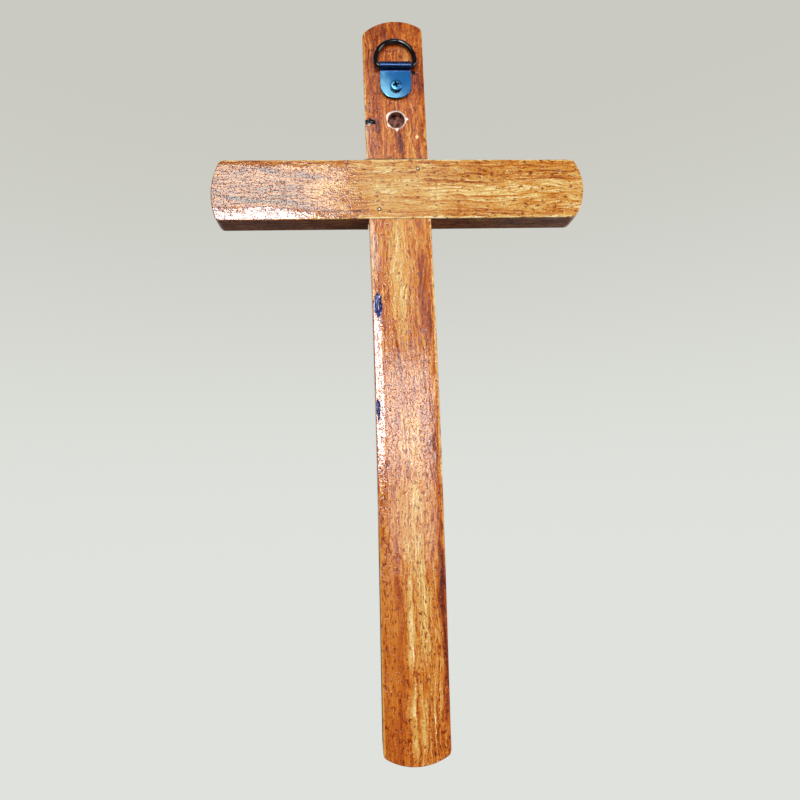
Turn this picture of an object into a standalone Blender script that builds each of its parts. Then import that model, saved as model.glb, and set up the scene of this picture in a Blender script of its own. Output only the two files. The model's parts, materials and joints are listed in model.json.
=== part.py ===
"""Wall cross: two varnished wooden beams halved together, with a folding D-ring hanger on the back.

The back, with the hanger, faces -Y and +Z is up. The origin is at the top inside of the ring, where a nail
holds the cross.
"""

import math

import bmesh
import bpy
from mathutils import Matrix

# Beams
BEAM_WIDTH = 0.0254
BEAM_THICKNESS = 0.0120
UPRIGHT_LENGTH = 0.2992
CROSSBAR_LENGTH = 0.1540
CROSSBAR_BELOW_TOP = 0.0749
CROSSBAR_SHIFT = 0.0007
TOP_END_RISE = 0.0060
TOP_APEX_SHIFT = 0.0016
FOOT_END_RISE = 0.0040
FOOT_APEX_SHIFT = 0.0
LEFT_END_RISE = 0.0037
LEFT_APEX_SHIFT = -0.0018
RIGHT_END_RISE = 0.0043
RIGHT_APEX_SHIFT = 0.0004
CORNER_RADIUS = 0.0018
EDGE_ROUND = 0.0015

# Lap joint: the crossbar keeps its back half there, the upright its front half
CROSSBAR_TONGUE = 0.0060
PIN_RADIUS = 0.00075
PIN_SHORT_OF_FRONT = 0.0020
PIN_DOME = 0.0002
PIN_IN_FROM_EDGE = 0.0045
PIN_IN_FROM_SEAM = 0.0040

# Blind nail hole under the hanger, with the shallow cone that a drill leaves
NAIL_HOLE_RADIUS = 0.0035
NAIL_HOLE_DEPTH = 0.0034
NAIL_HOLE_POINT = 0.0006
NAIL_HOLE_CHAMFER = 0.0004
NAIL_HOLE_BELOW_STRAP = 0.0088

# Hanger: a folded strap around the straight bar of a D-ring
HANGER_SHIFT = 0.0002
RING_AXIS_BELOW_TOP = 0.0218
WIRE_RADIUS = 0.00088
RING_BULGE = 0.00148
RING_RISE = 0.0117
RING_SHOULDER = 0.0025
RING_PLAY = 0.0002
SHEET = 0.0006
FOLD_GAP = 0.0001
STRAP_WIDTH = 0.0130
STRAP_REACH = 0.0140
STRAP_CORNER = 0.0058
BEND_RADIUS = 0.0006
BAR_PAST_STRAP = 0.0001

# Screw
SCREW_ABOVE_STRAP_END = 0.0049
SCREW_HEAD_RADIUS = 0.0024
SCREW_HEAD_HEIGHT = 0.0016
SCREW_SHANK_RADIUS = 0.0013
SCREW_IN_WOOD = 0.0069
SCREW_TIP = 0.0020
RECESS_SPAN = 0.0026
RECESS_SLOT = 0.0008
RECESS_DEPTH = 0.0009
RECESS_TURN = math.radians(14)

# Room between pieces that touch, and how far a cutter runs past what it cuts
FIT_GAP = 0.0003
OVERRUN = 0.0010

# Fineness of round shapes
ARC_STEPS = 12
ROUND_STEPS = 32
PIN_STEPS = 16
EDGE_STEPS = 3
CORNER_STEPS = 3
RING_DOME_STEPS = 28
RING_FOOT_STEPS = 7

# Places worked out from the sizes above
LOOP_RADIUS = WIRE_RADIUS + RING_PLAY + SHEET
LOOP_HOLLOW = LOOP_RADIUS - SHEET
AXIS_OFF_WOOD = FIT_GAP + LOOP_RADIUS
RING_LEAN = math.asin((AXIS_OFF_WOOD - FIT_GAP - WIRE_RADIUS) / RING_RISE)
HOOK_RISE = RING_RISE - WIRE_RADIUS
AXIS_Y = -HOOK_RISE * math.sin(RING_LEAN)
AXIS_Z = -HOOK_RISE * math.cos(RING_LEAN)
BACK_FACE_Y = AXIS_Y + AXIS_OFF_WOOD
TOP_Z = AXIS_Z + RING_AXIS_BELOW_TOP
CROSSING_Z = TOP_Z - CROSSBAR_BELOW_TOP
STRAP_FACE = LOOP_HOLLOW - FOLD_GAP - SHEET
SCREW_SEAT = STRAP_FACE - FIT_GAP
SCREW_LENGTH = AXIS_OFF_WOOD - SCREW_SEAT + SCREW_IN_WOOD
SCREW_BELOW_RING_AXIS = STRAP_REACH - SCREW_ABOVE_STRAP_END
NAIL_HOLE_BELOW_TOP = RING_AXIS_BELOW_TOP + STRAP_REACH + NAIL_HOLE_BELOW_STRAP
PIN_LENGTH = BEAM_THICKNESS - PIN_SHORT_OF_FRONT
BAR_HALF = STRAP_WIDTH / 2 + BAR_PAST_STRAP
RING_HALF_WIDTH = BAR_HALF + RING_BULGE
NOTCH_HALF = BEAM_WIDTH / 2 + FIT_GAP
ROUND_STOP = NOTCH_HALF + EDGE_ROUND


def clear_scene():
    for thing in list(bpy.data.objects):
        bpy.data.objects.remove(thing, do_unlink=True)


def finish_material(name, colour, roughness, metallic, coat=0.0):
    material = bpy.data.materials.new(name)
    material.use_nodes = True
    shader = material.node_tree.nodes["Principled BSDF"]
    shader.inputs["Base Color"].default_value = (*colour, 1.0)
    shader.inputs["Roughness"].default_value = roughness
    shader.inputs["Metallic"].default_value = metallic
    shader.inputs["Coat Weight"].default_value = coat
    return material


def place(thing, parent, location, turn):
    thing.parent = parent
    thing.location = location
    thing.rotation_euler = turn
    bpy.context.scene.collection.objects.link(thing)
    return thing


def add_piece(name, bm, material, parent, location=(0, 0, 0), turn=(0, 0, 0)):
    """A finished sub-part, shaded smooth with its real edges kept sharp."""
    bmesh.ops.recalc_face_normals(bm, faces=bm.faces)
    mesh = bpy.data.meshes.new(name)
    bm.to_mesh(mesh)
    bm.free()
    mesh.shade_smooth()
    mesh.set_sharp_from_angle(angle=math.radians(35))
    mesh.materials.append(material)
    return place(bpy.data.objects.new(name, mesh), parent, location, turn)


def add_cutter(name, bm, parent, location=(0, 0, 0), turn=(0, 0, 0)):
    """A guide that is cut out of a piece and isn't one itself."""
    bmesh.ops.recalc_face_normals(bm, faces=bm.faces)
    mesh = bpy.data.meshes.new(name)
    bm.to_mesh(mesh)
    bm.free()
    cutter = place(bpy.data.objects.new(name, mesh), parent, location, turn)
    cutter.hide_render = True
    cutter.display_type = "WIRE"
    return cutter


def cut(piece, cutter, operation="DIFFERENCE"):
    boolean = piece.modifiers.new(cutter.name, "BOOLEAN")
    boolean.operation = operation
    boolean.solver = "EXACT"
    boolean.object = cutter


def anchor(name, location):
    """An empty that holds the pieces placed from one reference point."""
    return place(bpy.data.objects.new(name, None), None, location, (0, 0, 0))


def arc(centre, radius, start, end, steps):
    """Points on a circle in a plane, angles in radians."""
    angles = [start + (end - start) * i / steps for i in range(steps + 1)]
    return [(centre[0] + radius * math.cos(a), centre[1] + radius * math.sin(a)) for a in angles]


def box(low, high):
    bm = bmesh.new()
    bmesh.ops.create_cube(bm, size=1.0)
    size = [h - l for l, h in zip(low, high)]
    middle = [(h + l) / 2 for l, h in zip(low, high)]
    bmesh.ops.scale(bm, vec=size, verts=bm.verts)
    bmesh.ops.translate(bm, vec=middle, verts=bm.verts)
    return bm


def turned(profile, steps=ROUND_STEPS):
    """A solid of revolution around Z; the profile is (radius, height) from pole to pole."""
    bm = bmesh.new()
    points = [bm.verts.new((radius, 0, height)) for radius, height in profile]
    lines = [bm.edges.new(pair) for pair in zip(points, points[1:])]
    bmesh.ops.spin(bm, geom=points + lines, cent=(0, 0, 0), axis=(0, 0, 1),
                   angle=math.tau, steps=steps, use_merge=True)
    bmesh.ops.remove_doubles(bm, verts=bm.verts, dist=1e-6)
    return bm


def prism(outline, thickness, axis):
    """A closed outline pushed along an axis, from 0 to the thickness."""
    bm = bmesh.new()
    face = bm.faces.new([bm.verts.new(point) for point in outline])
    pushed = bmesh.ops.extrude_face_region(bm, geom=[face])["geom"]
    moved = [item for item in pushed if isinstance(item, bmesh.types.BMVert)]
    bmesh.ops.translate(bm, vec=[thickness * part for part in axis], verts=moved)
    return bm


def end_line(reach, rise, apex_shift):
    """The rounded end of a beam: (across, along) points from one side to the other.

    The arc's apex may sit off the middle, and the rise is what the arc gains from its farther corner.
    """
    half = BEAM_WIDTH / 2
    far = half + abs(apex_shift)
    radius = (far**2 + rise**2) / (2 * rise)
    across = [-half + BEAM_WIDTH * i / ARC_STEPS for i in range(ARC_STEPS + 1)]
    return [(x, reach - radius + math.sqrt(radius**2 - (x - apex_shift) ** 2)) for x in across]


def beam(low_end, high_end):
    """A beam along Z with its back face at Y = 0, corners and free edges rounded.

    Each end is (reach from the crossing, rise, apex shift). The edges stay square at the lap joint.
    """
    high = end_line(*high_end)
    low = [(x, -z) for x, z in end_line(*low_end)]
    outline = [(x, 0, z) for x, z in low + high[::-1]]
    bm = bmesh.new()
    points = [bm.verts.new(point) for point in outline]
    face = bm.faces.new(points)
    corners = [points[0], points[ARC_STEPS], points[ARC_STEPS + 1], points[-1]]
    bmesh.ops.bevel(bm, geom=corners, offset=CORNER_RADIUS, offset_type="OFFSET", segments=CORNER_STEPS,
                    profile=0.5, affect="VERTICES", material=-1)
    face = bm.faces[:][0]
    pushed = bmesh.ops.extrude_face_region(bm, geom=[face])["geom"]
    moved = [item for item in pushed if isinstance(item, bmesh.types.BMVert)]
    bmesh.ops.translate(bm, vec=(0, BEAM_THICKNESS, 0), verts=moved)
    bmesh.ops.recalc_face_normals(bm, faces=bm.faces)
    for stop in (-ROUND_STOP, ROUND_STOP):
        bmesh.ops.bisect_plane(bm, geom=bm.verts[:] + bm.edges[:] + bm.faces[:], dist=1e-6,
                               plane_co=(0, 0, stop), plane_no=(0, 0, 1))
    rims = [edge for edge in bm.edges if is_free_rim(edge)]
    bmesh.ops.bevel(bm, geom=rims, offset=EDGE_ROUND, offset_type="OFFSET", segments=EDGE_STEPS,
                    profile=0.5, affect="EDGES", clamp_overlap=True, material=-1)
    return bm


def is_free_rim(edge):
    """True for an edge between a broad face and a side, away from the lap joint."""
    flat = [abs(face.normal.y) > 0.5 for face in edge.link_faces]
    along = [abs(vert.co.z) for vert in edge.verts]
    return flat.count(True) == 1 and min(along) > ROUND_STOP - OVERRUN / 10 and sum(along) > 2 * ROUND_STOP


def make_upright(crossing):
    top = (CROSSBAR_BELOW_TOP, TOP_END_RISE, TOP_APEX_SHIFT)
    foot = (UPRIGHT_LENGTH - CROSSBAR_BELOW_TOP, FOOT_END_RISE, FOOT_APEX_SHIFT)
    wood = finish_material("upright_varnished_wood", (0.46, 0.19, 0.065), 0.3, 0.0, 0.6)
    upright = add_piece("upright", beam(foot, top), wood, crossing)
    side = BEAM_WIDTH / 2 + OVERRUN
    floor = CROSSBAR_TONGUE + FIT_GAP
    notch = box((-side, -OVERRUN, -NOTCH_HALF), (side, floor, NOTCH_HALF))
    cut(upright, add_cutter("cut_upright_notch", notch, crossing))
    return upright


def make_crossbar(crossing):
    half = CROSSBAR_LENGTH / 2
    right = (half + CROSSBAR_SHIFT, RIGHT_END_RISE, -RIGHT_APEX_SHIFT)
    left = (half - CROSSBAR_SHIFT, LEFT_END_RISE, -LEFT_APEX_SHIFT)
    wood = finish_material("crossbar_varnished_wood", (0.56, 0.30, 0.12), 0.3, 0.0, 0.6)
    level = (0, math.radians(90), 0)
    crossbar = add_piece("crossbar", beam(left, right), wood, crossing, turn=level)
    side = BEAM_WIDTH / 2 + OVERRUN
    notch = box((-NOTCH_HALF, CROSSBAR_TONGUE, -side), (NOTCH_HALF, BEAM_THICKNESS + OVERRUN, side))
    cut(crossbar, add_cutter("cut_crossbar_notch", notch, crossing))
    return crossbar


def make_lap_pins(crossing, upright, crossbar):
    """Two pins at opposite corners of the lap, from the back through the crossbar into the upright."""
    steel = finish_material("pin_dark_steel", (0.10, 0.08, 0.07), 0.35, 1.0)
    side = BEAM_WIDTH / 2 - PIN_IN_FROM_EDGE
    level = BEAM_WIDTH / 2 - PIN_IN_FROM_SEAM
    into_wood = (math.radians(-90), 0, 0)
    crown = [(PIN_RADIUS, 0), (PIN_RADIUS * 0.7, -PIN_DOME * 0.6), (0, -PIN_DOME)]
    pin_line = crown[::-1] + [(PIN_RADIUS, PIN_LENGTH), (0, PIN_LENGTH)]
    hole = PIN_RADIUS + FIT_GAP
    bottom = PIN_LENGTH + FIT_GAP
    hole_line = [(0, -OVERRUN), (hole, -OVERRUN), (hole, bottom), (0, bottom)]
    for name, sign in (("upper", 1), ("lower", -1)):
        spot = (sign * side, 0, sign * level)
        add_piece(f"lap_pin_{name}", turned(pin_line, PIN_STEPS), steel, crossing, spot, into_wood)
        drill = add_cutter(f"cut_pin_{name}", turned(hole_line, PIN_STEPS), crossing, spot, into_wood)
        cut(crossbar, drill)
        cut(upright, drill)


def drill_nail_hole(crossing, upright):
    mouth = NAIL_HOLE_RADIUS + NAIL_HOLE_CHAMFER + OVERRUN
    line = [(0, -OVERRUN), (mouth, -OVERRUN), (NAIL_HOLE_RADIUS, NAIL_HOLE_CHAMFER),
            (NAIL_HOLE_RADIUS, NAIL_HOLE_DEPTH), (0, NAIL_HOLE_DEPTH + NAIL_HOLE_POINT)]
    spot = (0, 0, CROSSBAR_BELOW_TOP - NAIL_HOLE_BELOW_TOP)
    drill = add_cutter("cut_nail_hole", turned(line), crossing, spot, (math.radians(-90), 0, 0))
    cut(upright, drill)


def strap_section():
    """The folded sheet seen from the side: (Y, Z) from the ring's axis, the wood on the +Y side."""
    bend_y = STRAP_FACE - BEND_RADIUS
    bend_z = -math.sqrt((LOOP_RADIUS + BEND_RADIUS) ** 2 - bend_y**2)
    bend = (bend_y, bend_z)
    wrap = math.tau + math.atan2(bend_z, bend_y)
    lift = wrap - math.pi
    low = -STRAP_REACH - OVERRUN
    outer = [(LOOP_RADIUS, low)] + arc((0, 0), LOOP_RADIUS, 0, wrap, 2 * ARC_STEPS)
    outer += arc(bend, BEND_RADIUS, lift, 0, CORNER_STEPS)[1:] + [(STRAP_FACE, low)]
    inner = [(LOOP_HOLLOW, low)] + arc((0, 0), LOOP_HOLLOW, 0, wrap, 2 * ARC_STEPS)
    inner += arc(bend, BEND_RADIUS + SHEET, lift, 0, CORNER_STEPS)[1:] + [(STRAP_FACE + SHEET, low)]
    return outer + inner[::-1]


def make_strap(hanger):
    steel = finish_material("strap_blued_steel", (0.05, 0.07, 0.10), 0.2, 1.0)
    half = STRAP_WIDTH / 2
    section = [(-half, y, z) for y, z in strap_section()]
    strap = add_piece("hanger_strap", prism(section, STRAP_WIDTH, (1, 0, 0)), steel, hanger)
    depth = LOOP_RADIUS + OVERRUN
    centre_z = STRAP_CORNER - STRAP_REACH
    left = arc((STRAP_CORNER - half, centre_z), STRAP_CORNER, math.pi, math.pi * 3 / 2, ARC_STEPS)
    right = arc((half - STRAP_CORNER, centre_z), STRAP_CORNER, -math.pi / 2, 0, ARC_STEPS)
    wide = half + OVERRUN
    sides = [(wide, centre_z), (wide, depth), (-wide, depth), (-wide, centre_z)]
    outline = [(x, -depth, z) for x, z in left + right + sides]
    cut(strap, add_cutter("cut_strap_outline", prism(outline, 2 * depth, (0, 1, 0)), hanger), "INTERSECT")
    return strap


def ring_line():
    """The wire's middle line in the ring's own plane, as (X, Z) around the D from the bar's right end."""
    dome = RING_RISE - RING_SHOULDER
    line = []
    for i in range(RING_FOOT_STEPS):
        angle = math.pi / 2 * i / RING_FOOT_STEPS
        line.append((BAR_HALF + RING_BULGE * math.sin(angle), RING_SHOULDER * (1 - math.cos(angle))))
    for i in range(RING_DOME_STEPS // 2):
        angle = math.pi * i / RING_DOME_STEPS
        line.append((RING_HALF_WIDTH * math.cos(angle), RING_SHOULDER + dome * math.sin(angle)))
    return line + [(0, RING_RISE)] + [(-x, z) for x, z in line[::-1]]


def make_ring(hanger):
    """The ring's object sits on its hinge axis and leans until its top meets the wood."""
    curve = bpy.data.curves.new("d_ring", "CURVE")
    curve.dimensions = "3D"
    curve.bevel_depth = WIRE_RADIUS
    curve.bevel_resolution = 3
    points = ring_line()
    wire = curve.splines.new("POLY")
    wire.points.add(len(points) - 1)
    for spot, (x, z) in zip(wire.points, points):
        spot.co = (x, 0, z, 1)
    wire.use_cyclic_u = True
    wire.use_smooth = True
    curve.materials.append(finish_material("ring_black_steel", (0.012, 0.012, 0.015), 0.18, 1.0))
    return place(bpy.data.objects.new("d_ring", curve), hanger, (0, 0, 0), (-RING_LEAN, 0, 0))


def make_screw(hanger, strap, upright):
    """Pan-head cross-slot screw through both layers of the strap into the upright."""
    steel = finish_material("screw_blued_steel", (0.05, 0.07, 0.10), 0.2, 1.0)
    dome = [(SCREW_HEAD_RADIUS * math.cos(a), SCREW_HEAD_HEIGHT * (0.35 + 0.65 * math.sin(a)))
            for a in (math.pi / 2 * i / CORNER_STEPS / 2 for i in range(2 * CORNER_STEPS))]
    line = [(0, -SCREW_LENGTH), (SCREW_SHANK_RADIUS, SCREW_TIP - SCREW_LENGTH), (SCREW_SHANK_RADIUS, 0),
            (SCREW_HEAD_RADIUS, 0)] + dome + [(0, SCREW_HEAD_HEIGHT)]
    spot = (0, SCREW_SEAT, -SCREW_BELOW_RING_AXIS)
    out_of_wood = (math.radians(90), 0, 0)
    screw = add_piece("hanger_screw", turned(line), steel, hanger, spot, out_of_wood)
    span, slot = RECESS_SPAN / 2, RECESS_SLOT / 2
    quarter = [(span, -slot), (span, slot), (slot, slot)]
    cross = [(x * math.cos(t) - y * math.sin(t), x * math.sin(t) + y * math.cos(t), 0)
             for t in (math.pi / 2 * i for i in range(4)) for x, y in quarter]
    recess = prism(cross, RECESS_DEPTH + OVERRUN, (0, 0, 1))
    turn = Matrix.Rotation(RECESS_TURN, 3, "Z")
    bmesh.ops.rotate(recess, cent=(0, 0, 0), matrix=turn, verts=recess.verts)
    bmesh.ops.translate(recess, vec=(0, 0, SCREW_HEAD_HEIGHT - RECESS_DEPTH), verts=recess.verts)
    cut(screw, add_cutter("cut_screw_recess", recess, hanger, spot, out_of_wood))
    hole = SCREW_SHANK_RADIUS + FIT_GAP
    bottom = -SCREW_LENGTH - FIT_GAP
    hole_line = [(0, bottom), (hole, bottom), (hole, OVERRUN / 2), (0, OVERRUN / 2)]
    drill = add_cutter("cut_screw_hole", turned(hole_line), hanger, spot, out_of_wood)
    cut(strap, drill)
    cut(upright, drill)


def main():
    clear_scene()
    crossing = anchor("crossing", (-HANGER_SHIFT, BACK_FACE_Y, CROSSING_Z))
    hanger = anchor("hanger_axis", (0, AXIS_Y, AXIS_Z))
    upright = make_upright(crossing)
    crossbar = make_crossbar(crossing)
    make_lap_pins(crossing, upright, crossbar)
    drill_nail_hole(crossing, upright)
    strap = make_strap(hanger)
    make_ring(hanger)
    make_screw(hanger, strap, upright)
    bpy.context.view_layer.update()


main()
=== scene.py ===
# %% [markdown]
# # A varnished wooden wall cross, seen from its back
#
# The real object is two beams of reddish hardwood, halved together and varnished, with a small folded
# hanger screwed on near the top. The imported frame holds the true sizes, so every piece below is measured
# from it. This script adds the looks: eased edges, knots and chips, figure, varnish, blued steel and light.

import json
import math

import bmesh
import bpy
from mathutils import Matrix, Vector, noise


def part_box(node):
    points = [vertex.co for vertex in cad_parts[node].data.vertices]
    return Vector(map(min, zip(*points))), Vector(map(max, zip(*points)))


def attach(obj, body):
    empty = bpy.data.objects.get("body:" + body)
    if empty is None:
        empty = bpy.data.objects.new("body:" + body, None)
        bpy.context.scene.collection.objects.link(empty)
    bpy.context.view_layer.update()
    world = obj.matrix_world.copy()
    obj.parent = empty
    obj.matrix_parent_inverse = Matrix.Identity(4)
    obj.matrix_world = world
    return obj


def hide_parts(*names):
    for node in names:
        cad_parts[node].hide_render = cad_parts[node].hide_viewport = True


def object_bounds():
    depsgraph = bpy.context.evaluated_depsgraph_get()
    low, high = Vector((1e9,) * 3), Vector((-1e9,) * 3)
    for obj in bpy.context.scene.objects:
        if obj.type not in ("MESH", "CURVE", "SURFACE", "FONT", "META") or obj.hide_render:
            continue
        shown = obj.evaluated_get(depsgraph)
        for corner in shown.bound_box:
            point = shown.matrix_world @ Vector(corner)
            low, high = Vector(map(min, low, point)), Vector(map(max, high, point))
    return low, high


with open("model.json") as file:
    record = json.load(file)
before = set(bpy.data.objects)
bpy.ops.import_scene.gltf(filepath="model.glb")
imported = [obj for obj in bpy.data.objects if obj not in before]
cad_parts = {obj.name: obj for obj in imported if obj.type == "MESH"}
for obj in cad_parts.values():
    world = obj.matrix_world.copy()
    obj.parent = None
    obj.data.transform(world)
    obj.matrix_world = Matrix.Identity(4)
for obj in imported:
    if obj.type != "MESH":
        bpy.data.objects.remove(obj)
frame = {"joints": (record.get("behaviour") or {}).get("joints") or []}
cad_low, cad_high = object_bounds()
MM = 0.001


def in_mm(lengths, digits=1):
    """Lengths as rounded millimetres, for the printed notes."""
    return [round(length / MM, digits) for length in lengths]


print("frame box in mm:", in_mm(cad_high - cad_low))

# %% [markdown]
# ## Where things are
#
# Two places carry all the others: the middle of the lap joint on the back face, and the axis that the ring
# turns on. Reading both from the frame, and not typing them in, keeps this script right if a size changes.

# %% Measure the beams and the hanger
upright_low, upright_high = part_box("upright")
bar_low, bar_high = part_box("crossbar")
BACK = upright_low.y
THICKNESS = upright_high.y - BACK
BEAM_WIDTH = bar_high.z - bar_low.z
crossing = Vector(((upright_low.x + upright_high.x) / 2, BACK, (bar_low.z + bar_high.z) / 2))
ring_axis = Vector(frame["joints"][0]["pos_m"])
print("crossing in mm:", in_mm(crossing, 2), "ring axis:", in_mm(ring_axis, 2))

# %% [markdown]
# ## The camera
#
# The photograph was taken from close by, below and a little to the left, so the foot looks wider than the
# top. That only comes out right with the true distance and a wide lens. A camera is placed from the crossing
# and turned by three angles, which is easier to read than a target with a tilt added to it.

# %% Place the camera
CAMERA_FROM_CROSSING = Vector((-17.64, -242.53, -116.63)) * MM
CAMERA_TURN = (96.812, 1.943, -3.350)
CAMERA_LENS = 27.9

camera_data = bpy.data.cameras.new("view_from_below")
camera_data.lens = CAMERA_LENS
camera_data.clip_start = 10 * MM
camera = bpy.data.objects.new("view_from_below", camera_data)
camera.location = crossing + CAMERA_FROM_CROSSING
camera.rotation_euler = [math.radians(angle) for angle in CAMERA_TURN]
bpy.context.scene.collection.objects.link(camera)
bpy.context.scene.camera = camera
print("camera", round(CAMERA_FROM_CROSSING.length / MM), "mm from the crossing")

# %% [markdown]
# ## A helper for finishes
#
# Every finish below is mixed from a few kinds of node: a sum, a soft step, a noise, a bump, a blend and a
# colour ramp. Wrapping the node tree in a small class lets a finish read like a recipe. Colours are given as
# on a screen, from 0 to 255, and turned into the linear values that the shaders use.

# %% Define the finish helper
def paint(red, green, blue):
    """A colour given as on a screen, in linear values with an alpha of one."""
    shares = [part / 255 for part in (red, green, blue)]
    return (*[s / 12.92 if s < 0.04045 else ((s + 0.055) / 1.055) ** 2.4 for s in shares], 1.0)


class Finish:
    """A material whose nodes are added one by one."""

    def __init__(self, name):
        self.material = bpy.data.materials.new(name)
        self.material.use_nodes = True
        self.tree = self.material.node_tree
        self.shader = self.tree.nodes["Principled BSDF"]

    def feed(self, socket, value):
        """Link a socket to another node's output, or type a plain value into it."""
        if isinstance(value, bpy.types.NodeSocket):
            self.tree.links.new(value, socket)
        else:
            socket.default_value = value

    def node(self, kind, inputs, output=0, **settings):
        made = self.tree.nodes.new("ShaderNode" + kind)
        for name, value in settings.items():
            setattr(made, name, value)
        for key, value in inputs.items():
            self.feed(made.inputs[key], value)
        return made.outputs[output]

    def coordinates(self, kind="Object"):
        return self.node("TexCoord", {}, kind)

    def part(self, place, axis):
        return self.node("SeparateXYZ", {0: place}, axis)

    def point(self, x, y, z):
        return self.node("CombineXYZ", {0: x, 1: y, 2: z})

    def stretched(self, place, rates):
        """A point whose three parts are each multiplied by a rate of their own."""
        return self.point(*[self.times(part, rate) for part, rate in zip(place, rates)])

    def maths(self, operation, *values):
        return self.node("Math", dict(enumerate(values)), operation=operation)

    def plus(self, value, other):
        return self.maths("ADD", value, other)

    def minus(self, value, other):
        return self.maths("SUBTRACT", value, other)

    def times(self, value, factor):
        return self.maths("MULTIPLY", value, factor)

    def times_plus(self, value, factor, start):
        return self.maths("MULTIPLY_ADD", value, factor, start)

    def off(self, value, middle):
        """How far a value lies from its middle, to either side."""
        return self.maths("ABSOLUTE", self.minus(value, middle))

    def step(self, value, low, high, before=0.0, after=1.0):
        """A soft step from one value to another between low and high."""
        limits = {"Value": value, "From Min": low, "From Max": high, "To Min": before, "To Max": after}
        return self.node("MapRange", limits, interpolation_type="SMOOTHSTEP")

    def grit(self, place, scale=1.0, detail=2.0, roughness=0.5):
        """A noise around one half."""
        wanted = {"Vector": place, "Scale": scale, "Detail": detail, "Roughness": roughness}
        return self.node("TexNoise", wanted)

    def bump(self, height, depth, **under):
        """The slopes of a height, with a true depth in metres, laid over those given as Normal."""
        return self.node("Bump", {"Height": height, "Distance": depth, "Strength": 1.0, **under})

    def blend(self, share, first, second, kind="MIX"):
        return self.node("Mix", {0: share, 6: first, 7: second}, 2, data_type="RGBA", blend_type=kind)

    def ramp(self, value, stops):
        made = self.tree.nodes.new("ShaderNodeValToRGB")
        while len(made.color_ramp.elements) < len(stops):
            made.color_ramp.elements.new(1.0)
        for element, (position, colour) in zip(made.color_ramp.elements, stops):
            element.position = position
            element.color = colour
        self.feed(made.inputs[0], value)
        return made.outputs[0]

    def set(self, **values):
        """Give the shader its values; coat_ior here is the socket called Coat IOR."""
        for name, value in values.items():
            self.feed(self.shader.inputs[name.replace("_", " ").title().replace("Ior", "IOR")], value)
        return self.material


print("a screen grey of 128 is linear", round(paint(128, 128, 128)[0], 3))

# %% [markdown]
# ## The stage
#
# A plain pale room keeps all attention on the wood. It is one profile, from the middle of the floor out and
# up to the top of a dome, spun round once, so no edge shows from any side. It glows by itself instead of
# being lit, which leaves it free of noise, and it is hidden from reflections, because varnish on dark wood
# looks washed out when it mirrors a pale room on all sides.

# %% Build the stage
FLOOR_DROP = 150 * MM
ROOM_REACH = 2.2
ROOM_BEND = 0.9
SHADE_HEIGHTS = (-0.5, 1.3)
LOW_GREY = paint(224, 226, 221)
HIGH_GREY = paint(202, 202, 194)
QUARTER = math.radians(90)


def verts_of(items):
    """The vertices among the things that an operator gives back."""
    return [item for item in items if isinstance(item, bmesh.types.BMVert)]


stage_finish = Finish("pale_room")
room_height = stage_finish.part(stage_finish.coordinates(), 2)
# The glow is paler low down and greyer high up, a painted fall of light over the room.
room_shade = stage_finish.blend(stage_finish.step(room_height, *SHADE_HEIGHTS), LOW_GREY, HIGH_GREY)
stage_finish.set(base_color=(0.0, 0.0, 0.0, 1.0), roughness=1.0, specular_ior_level=0.0)
stage_finish.set(emission_color=room_shade, emission_strength=1.0)

room = bmesh.new()
floor_level = cad_low.z - FLOOR_DROP
bend_level = floor_level + ROOM_BEND
floor_reach = ROOM_REACH - ROOM_BEND
middle = room.verts.new((0, 0, floor_level))
rim = room.verts.new((floor_reach, 0, floor_level))
room.edges.new((middle, rim))
bend = bmesh.ops.spin(room, geom=[rim], cent=(floor_reach, 0, bend_level), axis=(0, -1, 0),
                      angle=QUARTER, steps=16)
shoulder = verts_of(bend["geom_last"])
bmesh.ops.spin(room, geom=shoulder, cent=(0, 0, bend_level), axis=(0, -1, 0), angle=QUARTER, steps=24)
bmesh.ops.spin(room, geom=room.verts[:] + room.edges[:], cent=(0, 0, 0), axis=(0, 0, 1),
               angle=math.tau, steps=64, use_merge=True)
bmesh.ops.remove_doubles(room, verts=room.verts, dist=0.1 * MM)
bmesh.ops.recalc_face_normals(room, faces=room.faces)
bmesh.ops.reverse_faces(room, faces=room.faces)
room_mesh = bpy.data.meshes.new("pale_room")
room.to_mesh(room_mesh)
room.free()
room_mesh.materials.append(stage_finish.material)
room_mesh.shade_smooth()
stage = bpy.data.objects.new("pale_room", room_mesh)
bpy.context.scene.collection.objects.link(stage)
for ray in ("visible_diffuse", "visible_glossy", "visible_transmission", "visible_shadow"):
    setattr(stage, ray, False)
print("room is", 2 * ROOM_REACH, "m across, its floor", round(floor_level, 3), "m from the ring's inside")

# %% [markdown]
# ## The lights
#
# Varnish shows its lamps as glare, so each softbox has two jobs: it lights the wood, and it stands where a
# part of the cross mirrors it. The mirror rule gives its place: a point on the back sends the view ray on at
# the same angle. A big window to the left gives the white glare on the crossbar's left arm and along the
# upright's left edge. Two patches behind the camera lay a haze on the upright halfway down, and they lean
# to green, because a white haze over red wood looks pink. Two wide soft ones behind the cross light its
# front for views from there. The Standard view shows each colour as it was mixed, and white glare burns out
# as it does in a telephone's photograph.

# %% Hang the softboxes
SOFT_WORLD = 0.10
WHITE = (1.0, 1.0, 1.0)
lower_back = Vector((crossing.x, BACK, crossing.z - 105 * MM))

bpy.context.scene.view_settings.view_transform = "Standard"
world = bpy.data.worlds.new("dim_room_light")
world.use_nodes = True
world.node_tree.nodes["Background"].inputs["Color"].default_value = paint(255, 250, 246)
world.node_tree.nodes["Background"].inputs["Strength"].default_value = SOFT_WORLD
bpy.context.scene.world = world


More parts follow.
